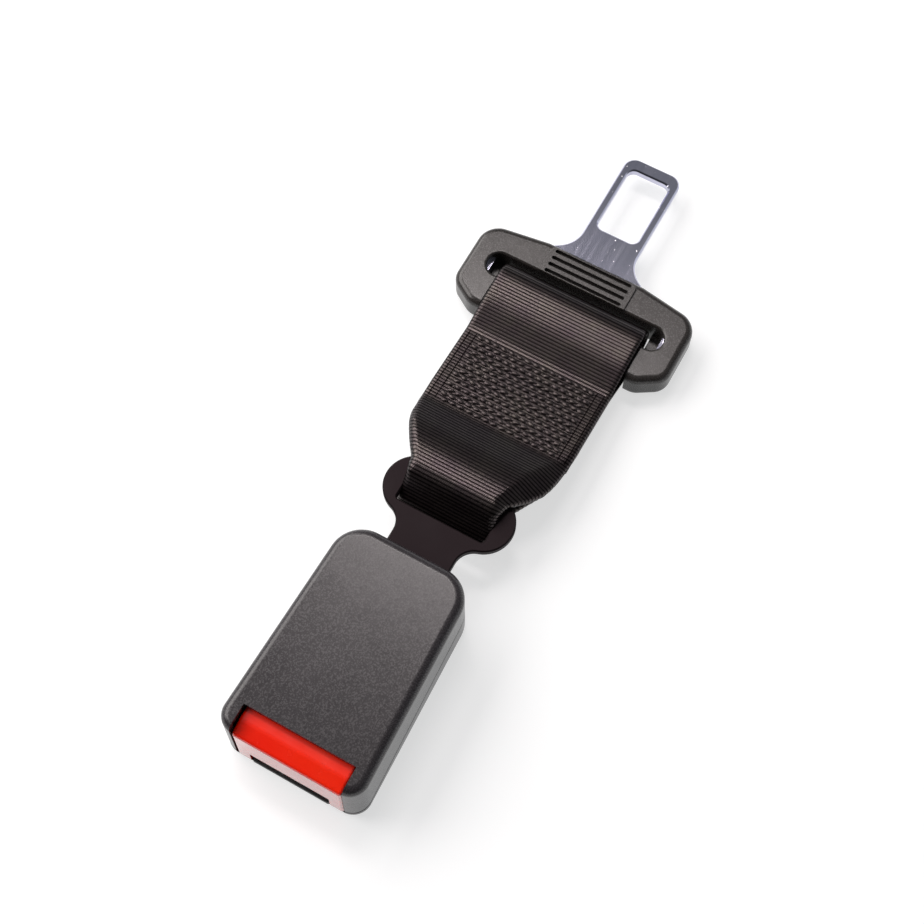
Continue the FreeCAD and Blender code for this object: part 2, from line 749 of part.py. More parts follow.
def eye_face(centre, radius, reach, end_x, end_low, end_high):
    """Side of a webbing eye, closed by tangents to a short upright edge at its stack.

    It is round about the bar's middle, and drawn out to a flat oval on the far side.
    """
    side = math.copysign(1, centre.x - end_x)

    def point(x, z):
        return centre + V(side * x, 0, z)

    def touch_angle(end_z, up):
        x = -abs(end_x - centre.x)
        z = end_z - centre.z
        toward = math.atan2(up * z, x) % math.tau
        return up * (toward - math.acos(radius / math.hypot(x, z)))

    def bar_arc(start, end):
        angles = (start, (start + end) / 2, end)
        return Part.Arc(*[point(radius * math.cos(a), radius * math.sin(a)) for a in angles]).toShape()

    above = bar_arc(touch_angle(end_high, 1), math.pi / 2)
    below = bar_arc(-math.pi / 2, touch_angle(end_low, -1))
    oval = Part.Ellipse(point(reach, 0), point(0, radius), centre)
    far_end = Part.ArcOfEllipse(oval, -math.pi / 2, math.pi / 2).toShape()
    high = V(end_x, 0, end_high)
    low = V(end_x, 0, end_low)
    edges = [above, far_end, below,
             Part.LineSegment(high, above.valueAt(above.FirstParameter)).toShape(),
             Part.LineSegment(below.valueAt(below.LastParameter), low).toShape()]
    if end_high > end_low:
        edges.append(Part.LineSegment(low, high).toShape())
    return Part.Face(Part.Wire(Part.__sortEdges__(edges)))


def webbing_eye(bar_middle, inner_radius, thick, reach, stack_x, neck):
    """Loop of webbing round a bar, from the sewn stack's end."""
    half_stack = web_layers * web_thick / 2
    middle = strap_line(stack_x)
    tip_x = stack_x + math.copysign(neck, bar_middle.x - stack_x)
    tip_z = strap_line(tip_x)
    outer = eye_face(bar_middle, inner_radius + thick, reach, stack_x,
                     middle - half_stack, middle + half_stack)
    inner = eye_face(bar_middle, inner_radius, reach - thick, tip_x, tip_z, tip_z)
    across = V(0, 2 * web_half, 0)
    eye = outer.extrude(across).cut(inner.extrude(across))
    eye.translate(V(0, -web_half, 0))
    return eye


def webbing():
    half_stack = web_layers * web_thick / 2
    start = x_anchor + stitch_start - overlap_margin
    end = x_anchor + stitch_start + stitch_length + overlap_margin
    stack = side_solid([(start, strap_line(start) - half_stack), (end, strap_line(end) - half_stack),
                        (end, strap_line(end) + half_stack), (start, strap_line(start) + half_stack)],
                       [0] * 4, -web_half, web_half)
    # At the anchor the webbing is folded to a smaller width, and so is thicker
    anchor_reach = anchor_bar_width / 2 + anchor_slot_length - eye_slack
    anchor_radius = eye_radius(anchor_bar_width, anchor_thick, anchor_edge)
    anchor_eye = webbing_eye(V(x_anchor, 0, anchor_z), anchor_radius, web_fold_thick,
                             anchor_reach, start, eye_neck)
    bar_radius = eye_radius(bar_width, bar_height, bar_corner)
    tongue_eye = webbing_eye(V(x_bar, 0, bar_z), bar_radius, web_thick,
                             slot_reach - eye_slack, end, tongue_eye_neck)
    strap = stack.fuse(anchor_eye).fuse(tongue_eye)
    # Plan of the strap, narrowed towards the anchor by its folded edges
    plan = mirrored([(x_anchor - 2 * anchor_reach, web_fold_half), (x_anchor + fold_start, web_fold_half),
                     (x_anchor + fold_end, web_half), (x_bar + 2 * slot_reach, web_half)])
    radii = [0, fold_inner_round, fold_outer_round, 0]
    return strap.common(plan_solid(plan, radii + radii[::-1], -big / 2, big / 2)).removeSplitter()


def stitching():
    """Lattice of thread on each face of the sewn stack."""
    half_stack = web_layers * web_thick / 2
    start = x_anchor + stitch_start
    slope = math.atan2(bar_z - anchor_z, strap_span)
    run = stitch_length / math.cos(slope)
    half_thread = stitch_thread / 2
    bars = []
    for i in range(stitch_rows):
        y = -stitch_half + half_thread + i * (2 * stitch_half - stitch_thread) / (stitch_rows - 1)
        bars.append(block(0, run, y - half_thread, y + half_thread, 0, stitch_height))
    for i in range(stitch_columns):
        x = half_thread + i * (run - stitch_thread) / (stitch_columns - 1)
        bars.append(sym_block(x - half_thread, x + half_thread, stitch_half, 0, stitch_height))
    lattice = bars[0].multiFuse(bars[1:]).removeSplitter()
    lattice.rotate(V(0, 0, 0), V(0, 1, 0), -math.degrees(slope))
    upper = lattice.copy()
    upper.translate(V(start, 0, strap_line(start) + half_stack))
    lower = lattice.mirror(V(0, 0, 0), V(math.sin(slope), 0, -math.cos(slope)))
    lower.translate(V(start, 0, strap_line(start) - half_stack))
    return Part.makeCompound([upper.Solids[0], lower.Solids[0]])


def tongue_plate():
    """Stamped tongue: a blade with a window, flared into a wide slotted end."""
    shoulder = x_shell_front
    flare = shoulder + flare_reach
    top = tongue_low_z + tongue_thick
    plan = mirrored([(x_bar - bar_core_width / 2, plate_half),
                     (shoulder - 2 * shoulder_length, plate_half),
                     (shoulder - shoulder_length, flare_half + flare_length),
                     (shoulder + flare_margin, flare_half), (flare - flare_length, blade_half),
                     (x_tip, blade_half)])
    radii = [plate_corner, plate_corner, plate_corner, plate_corner / 2, flare_round, blade_corner]
    plate = plan_solid(plan, radii + radii[::-1], tongue_low_z, top)
    window = mirrored([(x_tip - window_tip_wall - window_length, window_half),
                       (x_tip - window_tip_wall, window_half)])
    plate = plate.cut(plan_solid(window, [window_corner] * 4, 0, big))
    slot_front = x_bar + slot_reach + plate_slot_margin
    slot_half = strap_slot_half - plate_slot_margin
    slot = mirrored([(x_bar + bar_core_width / 2, slot_half), (slot_front, slot_half)])
    plate = plate.cut(plan_solid(slot, [plate_corner / 2] * 4, 0, big))
    bevel = [e for e in level_edges(plate, top) + level_edges(plate, tongue_low_z)
             if e.BoundBox.XMin > shoulder + flare_margin]
    return plate.makeChamfer(tongue_bevel, bevel).removeSplitter()


def tongue_cover():
    """Moulded cover round the wide end of the tongue, with the slot for the webbing."""
    front = x_shell_front
    rear = x_bar - bar_width / 2 - shell_horn
    plan = mirrored([(rear, shell_half - shell_horn_width), (rear + shell_horn_length, shell_half),
                     (front - shell_front_slant, shell_half), (front, shell_front_half)])
    radii = [shell_horn_round, shell_rear_corner, shell_front_corner, shell_front_slant]
    body = plan_solid(plan, radii + radii[::-1], 0, shell_thick)
    body = body.makeFillet(shell_top_round, level_edges(body, shell_thick))
    body = body.makeFillet(shell_bottom_round, level_edges(body, 0))
    # Slot for the webbing, and the notch that leaves only the bar at the rear
    slot_rear = x_bar + bar_width / 2
    slot_front = x_bar + slot_reach
    slot = mirrored([(rear - 2, bar_half), (slot_rear, bar_half), (slot_rear, strap_slot_half),
                     (slot_front, strap_slot_half)])
    end_round = strap_slot_length / 2 - 0.1
    radii = [0, 0, end_round, end_round]
    cutter = plan_solid(slot, radii + radii[::-1], -1, big)
    body = body.cut(cutter)
    lips = [e for z in (0, shell_thick) for e in level_edges(body, z)
            if lies_on(e, cutter) and e.BoundBox.XMax > slot_rear + 0.1]
    body = body.makeFillet(slot_lip_round, lips)
    for side in (-1, 1):
        body = body.fuse(block(slot_rear - 1, slot_front + 1, side * bar_half,
                               side * (strap_slot_half + 1), slot_web_low, slot_web_high))
    # Raised grip pad with its grooves
    grip = mirrored([(slot_front, grip_half), (front - grip_setback, grip_half)])
    grip_top = shell_thick + grip_rise
    pad = plan_solid(grip, [0, grip_corner, grip_corner, 0], shell_thick - 2 * slot_lip_round, grip_top)
    pad = pad.makeFillet(grip_rise / 2, level_edges(pad, grip_top))
    body = body.fuse(pad)
    for i in range(groove_count):
        x = front - groove_setback - i * groove_pitch
        line = mirrored([(x - groove_width / 2, groove_half), (x + groove_width / 2, groove_half)])
        body = body.cut(plan_solid(line, [groove_width / 2 - 0.02] * 4, grip_top - groove_depth, big))
    # Bar that the webbing turns round
    bar_low = bar_z - bar_height / 2
    bar_high = bar_z + bar_height / 2
    bar = [(slot_rear - bar_width, bar_low), (slot_rear, bar_low),
           (slot_rear, bar_high), (slot_rear - bar_width, bar_high)]
    body = body.fuse(side_solid(bar, [bar_corner] * 4, -bar_half - 1, bar_half + 1))
    return body.cut(tongue_plate()).removeSplitter()


pieces = {
    "lower_cover": lower_cover,
    "upper_cover": upper_cover,
    "buckle_frame": buckle_frame,
    "mouth_guide": mouth_guide,
    "release_button": release_button,
    "button_spring_left": lambda: button_spring(1),
    "button_spring_right": lambda: button_spring(-1),
    "latch": latch,
    "latch_pin": latch_pin,
    "latch_spring": latch_spring,
    "lock_bar": lock_bar,
    "ejector": ejector,
    "ejector_spring": ejector_spring,
    "ejector_stop": ejector_stop,
    "anchor_plate": anchor_plate,
    "frame_rivets": frame_rivets,
    "webbing": webbing,
    "stitching": stitching,
    "tongue_plate": tongue_plate,
    "tongue_cover": tongue_cover,
}

os.makedirs("parts", exist_ok=True)
for name, make in pieces.items():
    shape = make()
    shape.exportStep("parts/" + name + ".step")
    print(name, len(shape.Solids), shape.isValid(), round(shape.Volume, 1))
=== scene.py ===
import json
import math
import random

import bpy
from mathutils import Matrix, Vector


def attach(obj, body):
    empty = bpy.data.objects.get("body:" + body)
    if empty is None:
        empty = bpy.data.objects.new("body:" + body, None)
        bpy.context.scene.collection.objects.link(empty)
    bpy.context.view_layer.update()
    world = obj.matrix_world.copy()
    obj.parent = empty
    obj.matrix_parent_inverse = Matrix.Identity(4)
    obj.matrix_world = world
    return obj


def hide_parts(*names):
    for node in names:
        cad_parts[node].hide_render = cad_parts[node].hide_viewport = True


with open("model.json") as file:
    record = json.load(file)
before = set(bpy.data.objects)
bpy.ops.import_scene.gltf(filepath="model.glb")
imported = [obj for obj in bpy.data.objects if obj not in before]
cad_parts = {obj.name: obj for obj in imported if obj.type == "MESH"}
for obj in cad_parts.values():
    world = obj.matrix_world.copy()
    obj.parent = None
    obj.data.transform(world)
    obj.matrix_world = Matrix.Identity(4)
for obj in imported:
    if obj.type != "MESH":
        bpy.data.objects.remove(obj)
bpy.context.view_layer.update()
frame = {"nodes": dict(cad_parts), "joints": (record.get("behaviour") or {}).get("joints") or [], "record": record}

MM = 0.001
random.seed(7)

# Places taken from the frame
joints = {j["name"]: j for j in frame["joints"]}
anchor = Vector(joints["anchor_swing"]["pos_m"]) / MM
bar = Vector(joints["tongue_swing"]["pos_m"]) / MM

# Webbing, in millimetres
sheet_thick = 1.2
half_width = 24.0
anchor_radius = 5.7       # middle of the sheet under the anchor bar
bar_radius = 5.45         # and under the tongue's bar
stack_start = 20.5        # from the anchor bar to the sewn stack
stack_end = 48.0
layer_rise = 1.3          # from one layer's middle to the next
rib_pitch = 1.05
rib_height = 0.1
rib_power = 0.2           # the lower, the squarer the ribs and the narrower their grooves
rows_per_rib = 8
column_step = 0.8
smooth_reach = 1.4        # length along the sheet over which its corners are eased
edge_share = 0.55         # thickness of the sheet's two edges against the rest
lap_start = 0.9           # the lapped ends begin this far ahead of the stack,
lap_share = 0.992         # are this much of the sheet's width
lap_aside = 0.25          # and lie this far to the right of it

# Side line of the webbing over each bar and down on its far side, out and up from the bar's
# middle. At the anchor it turns down steeply behind its crest and bulges out below the plate;
# at the tongue it rises gently as far as the slot's front lip
anchor_loop = [(-15.5, 1.5), (-11.5, 3.4), (-8.0, 4.65), (-4.5, 5.45), (-1.0, 5.7), (1.5, 5.7),
               (3.2, 5.2), (4.7, 3.7), (6.1, 1.8), (8.2, -0.5), (10.1, -2.3), (10.5, -3.6),
               (9.5, -5.0), (7.0, -5.6), (0.0, -5.7)]
tongue_loop = [(-10.0, 3.85), (-6.0, 4.75), (-3.0, 5.2), (0.0, 5.45), (3.0, 5.62), (5.0, 5.6),
               (7.0, 5.2), (8.8, 4.1), (10.2, 2.3), (10.9, 0.3), (11.1, -1.8), (10.9, -3.7),
               (9.8, -5.0), (7.6, -5.4), (0.0, -5.45)]

# Outline of the webbing by distance from the anchor bar: half its width, then half the
# width of its flat middle up to the crease on each side, and how far the crease's flap drops
outline = [(-20, 13.9), (-4.5, 13.8), (0.6, 14.6), (3.2, 16.6), (6.5, 18.7), (11.0, 21.3),
           (14.5, 22.6), (19.5, 23.5), (27.0, 24.0), (120, 24.0)]
left_crease = [(-20, 13.7), (-4.5, 13.5), (0.6, 14.1), (3.2, 16.0), (6.5, 18.1), (11.0, 20.7),
               (14.5, 22.0), (19.5, 23.2), (27.0, 23.9), (120, 23.9)]
right_crease = [(-20, 13.6), (-6.5, 13.5), (0.0, 11.9), (12.0, 15.9), (21.4, 20.6),
                (29.0, 23.9), (120, 23.9)]
flap_drop = [(-20, 0.1), (-6.5, 0.2), (0.0, 1.8), (6.0, 3.2), (12.0, 2.9), (18.0, 1.5),
             (24.0, 0.25), (120, 0.05)]
left_drop = 0.25          # the left flap drops this much of what the right one does
least_flap = 0.05
under_turn = 0.65         # radius of the flap's turn under the webbing
turn_bulge = 0.6          # how far that turn stands out sideways against its radius

# Stitching, in millimetres
stitch_start = 21.4       # from the anchor bar
stitch_end = 47.0
stitch_half = 19.2
stitch_row_pitch = 1.8
stitch_step = 2.7
bead_long = 2.4
bead_wide = 1.4
bead_high = 1.2
bead_inset = 0.6          # the end beads' middles keep this far inside the block's edge
bead_sink = 0.02          # the beads' middles are this far under the webbing's face
bead_lift = 0.05          # and then this far back out of it
bead_slants = (-0.12, 0.22)   # turn of the beads in every other row, in radians
border_middle = 21.3      # lengthwise sewn lines, this far from the middle and
border_spread = 1.1       # this far to either side


def link(obj):
    bpy.context.scene.collection.objects.link(obj)
    return obj


def interpolate(table, x):
    """Value between the rows of a short table, in a straight line from one to the next."""
    for (x0, y0), (x1, y1) in zip(table, table[1:]):
        if x <= x1:
            t = min(max((x - x0) / (x1 - x0), 0), 1)
            return y0 + (y1 - y0) * t
    return table[-1][1]


def write_lay(obj, lays):
    """Stores each point's place along and across the webbing, in millimetres."""
    attribute = obj.data.attributes.new("lay", "FLOAT_VECTOR", "POINT")
    for item, value in zip(attribute.data, lays):
        item.vector = value


def mesh_object(name, verts, faces, smooth=True):
    mesh = bpy.data.meshes.new(name)
    mesh.from_pydata(verts, [], faces)
    mesh.update()
    if smooth:
        mesh.shade_smooth()
    return link(bpy.data.objects.new(name, mesh))


# Materials


class Nodes:
    """Short way to build a material's nodes."""

    def __init__(self, name):
        self.material = bpy.data.materials.new(name)
        self.material.use_nodes = True
        self.tree = self.material.node_tree
        self.shader = self.tree.nodes["Principled BSDF"]

    def add(self, kind, inputs=None, **settings):
        node = self.tree.nodes.new(kind)
        for key, value in settings.items():
            setattr(node, key, value)
        for key, value in (inputs or {}).items():
            self.join(value, node.inputs[key])
        return node

    def join(self, value, socket):
        if isinstance(value, bpy.types.NodeSocket):
            self.tree.links.new(value, socket)
        else:
            socket.default_value = value

    def set(self, **values):
        for key, value in values.items():
            self.join(value, self.shader.inputs[key.replace("_", " ")])

    def math(self, operation, a, b=0.0):
        return self.add("ShaderNodeMath", {0: a, 1: b}, operation=operation).outputs[0]

    def noise(self, vector, scale, detail=2.0, roughness=0.5):
        inputs = {"Vector": vector, "Scale": scale, "Detail": detail, "Roughness": roughness}
        return self.add("ShaderNodeTexNoise", inputs).outputs["Fac"]

    def ramp(self, value, stops):
        node = self.add("ShaderNodeValToRGB", {"Fac": value})
        elements = node.color_ramp.elements
        while len(elements) < len(stops):
            elements.new(0.5)
        for element, (place, colour) in zip(elements, stops):
            element.position = place
            element.color = (*colour, 1.0)
        return node.outputs["Color"]

    def spread(self, value, low, high, to_low, to_high):
        inputs = {"Value": value, "From Min": low, "From Max": high,
                  "To Min": to_low, "To Max": to_high}
        return self.add("ShaderNodeMapRange", inputs).outputs["Result"]

    def bump(self, height, strength, distance, normal=None):
        inputs = {"Height": height, "Strength": strength, "Distance": distance}
        node = self.add("ShaderNodeBump", inputs)
        if normal is not None:
            self.join(normal, node.inputs["Normal"])
        return node.outputs["Normal"]

    def place(self):
        return self.add("ShaderNodeTexCoord").outputs["Object"]


def grained_plastic(name, dark, light, roughness, grain_size, grain_depth):
    """Moulded plastic with a fine spark-eroded grain and slight unevenness."""
    n = Nodes(name)
    place = n.place()
    grain = n.noise(place, 1.0 / (grain_size * MM), 2.0, 0.55)
    cloud = n.noise(place, 45.0, 3.0, 0.6)
    tone = n.math("ADD", n.math("MULTIPLY", cloud, 0.55), n.math("MULTIPLY", grain, 0.45))
    n.set(Base_Color=n.ramp(tone, [(0.3, dark), (0.7, light)]))
    n.set(Roughness=n.spread(grain, 0.3, 0.7, roughness - 0.05, roughness + 0.07))
    swell = n.bump(cloud, 0.5, 0.12 * MM)
    n.set(Normal=n.bump(grain, 0.5, grain_depth * MM, swell))
    n.set(Specular_IOR_Level=n.spread(grain, 0.3, 0.7, 0.38, 0.62))
    return n.material


def button_plastic():
    """Glossy red plastic with a faint orange-peel surface."""
    n = Nodes("button_red")
    place = n.place()
    peel = n.noise(place, 260.0, 2.0)
    cloud = n.noise(place, 60.0, 2.0)
    n.set(Base_Color=n.ramp(cloud, [(0.3, (0.95, 0.012, 0.0)), (0.7, (1.0, 0.024, 0.001))]))
    n.set(Roughness=n.spread(peel, 0.3, 0.7, 0.2, 0.28), Specular_IOR_Level=0.3)
    n.set(Coat_Weight=1.0, Coat_Roughness=0.04)
    n.set(Normal=n.bump(peel, 0.12, 0.04 * MM))
    return n.material


def plated_steel():
    """Chrome plate: bluish grey, with light handling scratches and a few specks."""
    n = Nodes("tongue_chrome")
    place = n.place()
    cloud = n.noise(place, 38.0, 3.0, 0.6)
    specks = n.noise(place, 900.0, 1.0)
    dots = n.spread(specks, 0.74, 0.8, 0.0, 1.0)
    stretch = n.add("ShaderNodeMapping", {"Vector": place, "Scale": (30.0, 700.0, 700.0)})
    scratches = n.noise(stretch.outputs["Vector"], 1.0, 2.0)
    base = n.ramp(cloud, [(0.25, (0.53, 0.53, 0.67)), (0.75, (0.63, 0.63, 0.74))])
    mixed = n.add("ShaderNodeMix", data_type="RGBA")
    n.join(dots, mixed.inputs[0])
    n.join(base, mixed.inputs[6])
    mixed.inputs[7].default_value = (0.98, 0.98, 1.0, 1.0)
    n.set(Base_Color=mixed.outputs[2], Metallic=1.0)
    polish = n.spread(scratches, 0.3, 0.7, 0.09, 0.12)
    n.set(Roughness=n.math("ADD", polish, n.math("MULTIPLY", dots, 0.4)))
    n.set(Normal=n.bump(scratches, 0.015, 0.01 * MM))
    return n.material


def bare_steel(name, colour, roughness):
    """Zinc plated or drawn steel with a brushed grain."""
    n = Nodes(name)
    stretch = n.add("ShaderNodeMapping", {"Vector": n.place(), "Scale": (60.0, 900.0, 900.0)})
    streak = n.noise(stretch.outputs["Vector"], 1.0, 3.0)
    darker = tuple(c * 0.75 for c in colour)
    n.set(Base_Color=n.ramp(streak, [(0.3, darker), (0.7, colour)]), Metallic=1.0)
    n.set(Roughness=n.spread(streak, 0.3, 0.7, roughness - 0.08, roughness + 0.08))
    n.set(Normal=n.bump(streak, 0.2, 0.02 * MM))
    return n.material


def black_paint():
    """Satin black dip paint with slightly reddish highlights."""
    n = Nodes("black_steel")
    place = n.place()
    cloud = n.noise(place, 70.0, 3.0, 0.6)
    peel = n.noise(place, 700.0, 2.0)
    n.set(Base_Color=n.ramp(cloud, [(0.3, (0.003, 0.002, 0.0025)), (0.7, (0.008, 0.005, 0.006))]))
    n.set(Roughness=n.spread(cloud, 0.3, 0.7, 0.42, 0.54), Specular_IOR_Level=0.15)
    n.set(Specular_Tint=(1.0, 0.78, 0.84, 1.0))
    n.set(Normal=n.bump(peel, 0.3, 0.03 * MM))
    return n.material


def woven(name, dark, light, yarn, slant, ribbed):
    """Shiny black polyester. The mesh carries the ribs; this adds the yarns across them.

    Where it is ribbed it also paints shade into the rib grooves, in colour and shine, and darkens the sewn lines
    beside the stitches.
    """
    n = Nodes(name)
    lay = n.add("ShaderNodeAttribute", attribute_name="lay").outputs["Vector"]
    split = n.add("ShaderNodeSeparateXYZ", {"Vector": lay})
    along, across = split.outputs[0], split.outputs[1]
    rib = n.math("MULTIPLY", along, math.tau / rib_pitch)
    skew = n.math("ADD", n.math("MULTIPLY", across, math.tau / yarn), n.math("MULTIPLY", rib, slant))
    strand = n.math("SINE", skew)
    jitter = n.noise(lay, 1.6, 2.0)
    wear = n.noise(lay, 0.12, 3.0, 0.6)
    tone = n.math("ADD", n.math("MULTIPLY", jitter, 0.6), n.math("MULTIPLY", wear, 0.4))
    shine = n.spread(tone, 0.3, 0.7, 0.55, 1.0)
    if ribbed:
        # painted shade: the colour and shine are darkened in the grooves between the ribs
        groove_shade = n.spread(n.math("COSINE", rib), -1.0, 0.4, 0.08, 1.0)
        shine = n.math("MULTIPLY", n.math("MULTIPLY", shine, groove_shade), border_lines(n, along, across))
        tone = n.math("MULTIPLY", tone, groove_shade)
    n.set(Base_Color=n.ramp(tone, [(0.1, dark), (0.7, light)]))
    fine = n.math("ADD", n.math("MULTIPLY", strand, 0.5), n.math("MULTIPLY", jitter, 0.6))
    n.set(Normal=n.bump(fine, 0.3, 0.07 * MM))
    n.set(Roughness=0.28, Specular_IOR_Level=shine)
    n.set(Specular_Tint=n.ramp(wear, [(0.3, (1.0, 0.8, 0.86)), (0.7, (1.0, 0.88, 0.8))]))
    return n.material


def border_lines(n, along, across):
    """Factor that is low along the thin lengthwise rows sewn beside the stitch block."""
    from_middle = n.math("ABSOLUTE", n.math("SUBTRACT", n.math("ABSOLUTE", across), border_middle))
    from_line = n.math("ABSOLUTE", n.math("SUBTRACT", from_middle, border_spread))
    line = n.spread(from_line, 0.1, 0.3, 0.1, 1.0)
    middle = (stitch_start + stitch_end) / 2 - stack_start
    off_block = n.math("ABSOLUTE", n.math("SUBTRACT", along, middle))
    return n.math("MAXIMUM", line, n.math("GREATER_THAN", off_block, (stitch_end - stitch_start) / 2))


def floor_material():
    """Plain pale table that reads white to the camera and keeps the object's shadow."""
    n = Nodes("floor_white")
    n.set(Base_Color=(0.47, 0.48, 0.485, 1.0), Roughness=0.9, Specular_IOR_Level=0.1)
    rays = n.add("ShaderNodeLightPath").outputs
    seen = n.math("MAXIMUM", rays["Is Camera Ray"], rays["Is Glossy Ray"])
    seen = n.math("MAXIMUM", seen, rays["Is Transmission Ray"])
    n.shader.inputs["Emission Color"].default_value = (1.0, 1.0, 1.0, 1.0)
    n.set(Emission_Strength=n.math("MULTIPLY", seen, 0.62))
    return n.material


grain = {
    "cover_plastic": ((0.018, 0.0153, 0.0173), (0.038, 0.0335, 0.037), 0.25, 0.42, 0.012),
    "tongue_plastic": ((0.018, 0.0155, 0.0145), (0.034, 0.03, 0.028), 0.24, 0.35, 0.01),
    "guide_plastic": ((0.004, 0.004, 0.004), (0.01, 0.01, 0.01), 0.5, 0.4, 0.04),
    "ejector_plastic": ((0.5, 0.5, 0.48), (0.62, 0.62, 0.6), 0.5, 0.4, 0.03),
}
finishes = {
    **{name: grained_plastic(name, *values) for name, values in grain.items()},
    "button_red": button_plastic(),
    "zinc_steel": bare_steel("zinc_steel", (0.6, 0.6, 0.58), 0.35),
    "spring_steel": bare_steel("spring_steel", (0.42, 0.42, 0.43), 0.32),
    "black_steel": black_paint(),
    "webbing_polyester": woven("webbing_polyester", (0.0008, 0.0005, 0.0007), (0.006, 0.0044, 0.0044),
                               0.55, 0.5, True),
    "stitch_thread": woven("stitch_thread", (0.003, 0.0022, 0.0023), (0.018, 0.014, 0.014),
                           0.3, 1.0, False),
    "tongue_chrome": plated_steel(),
}


sharp_angle = 28          # degrees, above which an edge of a CAD node stays sharp


def dress_frame():
    """Gives every CAD node the finish of its own material slot and smooth shading."""
    for part in frame["record"]["subparts"]:
        obj = frame["nodes"][part["node"]]
        obj.data.materials.clear()
        obj.data.materials.append(finishes[part["material_slot"]])
        obj.data.shade_smooth()
        obj.data.set_sharp_from_angle(angle=math.radians(sharp_angle))


# Webbing


def strap_height(x):
    share = (x - anchor.x) / (bar.x - anchor.x)
    return anchor.z + (bar.z - anchor.z) * share


def eye_points(centre, radius, over, end_x):
    """Side line of the sheet round a bar, from the stack's top layer to its bottom one.

    It follows the points given, then runs round under the bar.
    """
    side = math.copysign(1, centre.x - end_x)
    x = -abs(end_x - centre.x)
    z = strap_height(end_x) - layer_rise - centre.z
    toward = math.atan2(-z, x) % math.tau
    end = math.acos(radius / math.hypot(x, z)) - toward
    steps = 40
    under = [-math.pi / 2 + (end + math.pi / 2) * i / steps for i in range(1, steps + 1)]
    points = over + [(radius * math.cos(a), radius * math.sin(a)) for a in under]
    return [(centre.x + side * along, centre.z + rise) for along, rise in points]


def loop_path():
    """Closed line of the sheet's middle, seen from the side: top run, bar, bottom run, anchor."""
    near_x = anchor.x + stack_start
    far_x = anchor.x + stack_end
    near, far = strap_height(near_x), strap_height(far_x)
    round_bar = eye_points(bar, bar_radius, tongue_loop, far_x)
    round_anchor = eye_points(anchor, anchor_radius, anchor_loop, near_x)
    return ([(near_x, near + layer_rise), (far_x, far + layer_rise)] + round_bar
            + [(far_x, far - layer_rise), (near_x, near - layer_rise)] + round_anchor[::-1])


def resample(points, step):
    """Evenly spaced points along a closed line."""
    closed = points + [points[0]]
    lengths = [0.0]
    for a, b in zip(closed, closed[1:]):
        lengths.append(lengths[-1] + math.dist(a, b))
    count = max(8, round(lengths[-1] / step))
    found = []
    segment = 0
    for i in range(count):
        place = lengths[-1] * i / count
        while lengths[segment + 1] < place:
            segment += 1
        span = lengths[segment + 1] - lengths[segment]
        t = (place - lengths[segment]) / span if span else 0
        a, b = closed[segment], closed[segment + 1]
        found.append((a[0] + (b[0] - a[0]) * t, a[1] + (b[1] - a[1]) * t))
    return found, lengths[-1] / count


def smoothed(points, reach):
    """Moving average round a closed line, which eases its corners."""
    count = len(points)
    window = 2 * reach + 1
    found = []
    for i in range(count):
        x = sum(points[(i + k) % count][0] for k in range(-reach, reach + 1)) / window
        z = sum(points[(i + k) % count][1] for k in range(-reach, reach + 1)) / window
        found.append((x, z))
    return found


def cross_section(distance, columns):
    """Offsets (y, inward) of the sheet's middle across the strap, with its edges folded under."""
    half = interpolate(outline, distance)
    offsets = []
    for i in range(columns + 1):
        v = -half_width + 2 * half_width * i / columns
        side = 1 if v >= 0 else -1
        flat = interpolate(left_crease if side > 0 else right_crease, distance)
        drop = interpolate(flap_drop, distance) * (left_drop if side > 0 else 1.0)
        reach = max(half - flat, least_flap)
        slope = math.hypot(reach, drop)
        turn = math.pi * under_turn
        over = abs(v) - flat
        if over <= 0:
            offsets.append((v, 0.0))
        elif over < slope:
            offsets.append((side * (flat + reach * over / slope), drop * over / slope))
        elif over < slope + turn:
            angle = (over - slope) / under_turn
            offsets.append((side * (half + under_turn * math.sin(angle) * turn_bulge),
                            drop + under_turn * (1 - math.cos(angle))))
        else:
            offsets.append((side * (half - (over - slope - turn)), drop + 2 * under_turn))
    return offsets


def normals_of(grid, rows, columns, closed):
    """Normal of each point of a grid, from its neighbours."""
    found = []
    for r in range(rows):
        ahead = (r + 1) % rows if closed else min(r + 1, rows - 1)
        behind = (r - 1) % rows if closed else max(r - 1, 0)
        line = []
        for c in range(columns + 1):
            along = grid[ahead][c] - grid[behind][c]
            across = grid[r][min(c + 1, columns)] - grid[r][max(c - 1, 0)]
            line.append(across.cross(along).normalized())
        found.append(line)
    return found


def sheet_mesh(name, grid, lay, closed, rib):
    """Closed thin solid either side of a grid of middle points, ribbed along the rows."""
    rows = len(grid)
    columns = len(grid[0]) - 1
    normals = normals_of(grid, rows, columns, closed)
    verts = []
    lays = []
    for side in (1, -1):
        for r in range(rows):
            lift = sheet_thick / 2 - rib_height + rib_height * rib(lay[r][0][0])
            for c in range(columns + 1):
                thin = edge_share if c in (0, columns) else 1.0
                verts.append((grid[r][c] + normals[r][c] * side * lift * thin) * MM)
                lays.append((lay[r][c][0], lay[r][c][1], 0.0))
    wide = columns + 1
    back = rows * wide
    faces = []
    spans = rows if closed else rows - 1
    for r in range(spans):
        n = (r + 1) % rows
        for c in range(columns):
            faces.append((r * wide + c, n * wide + c, n * wide + c + 1, r * wide + c + 1))
            faces.append((back + r * wide + c, back + r * wide + c + 1,
                          back + n * wide + c + 1, back + n * wide + c))
        faces.append((r * wide, back + r * wide, back + n * wide, n * wide))
        faces.append((r * wide + columns, n * wide + columns,
                      back + n * wide + columns, back + r * wide + columns))
    if not closed:
        end = (rows - 1) * wide
        for c in range(columns):
            faces.append((c, c + 1, back + c + 1, back + c))
            faces.append((end + c, back + end + c, back + end + c + 1, end + c + 1))
    obj = mesh_object(name, verts, faces)
    write_lay(obj, lays)
    return obj


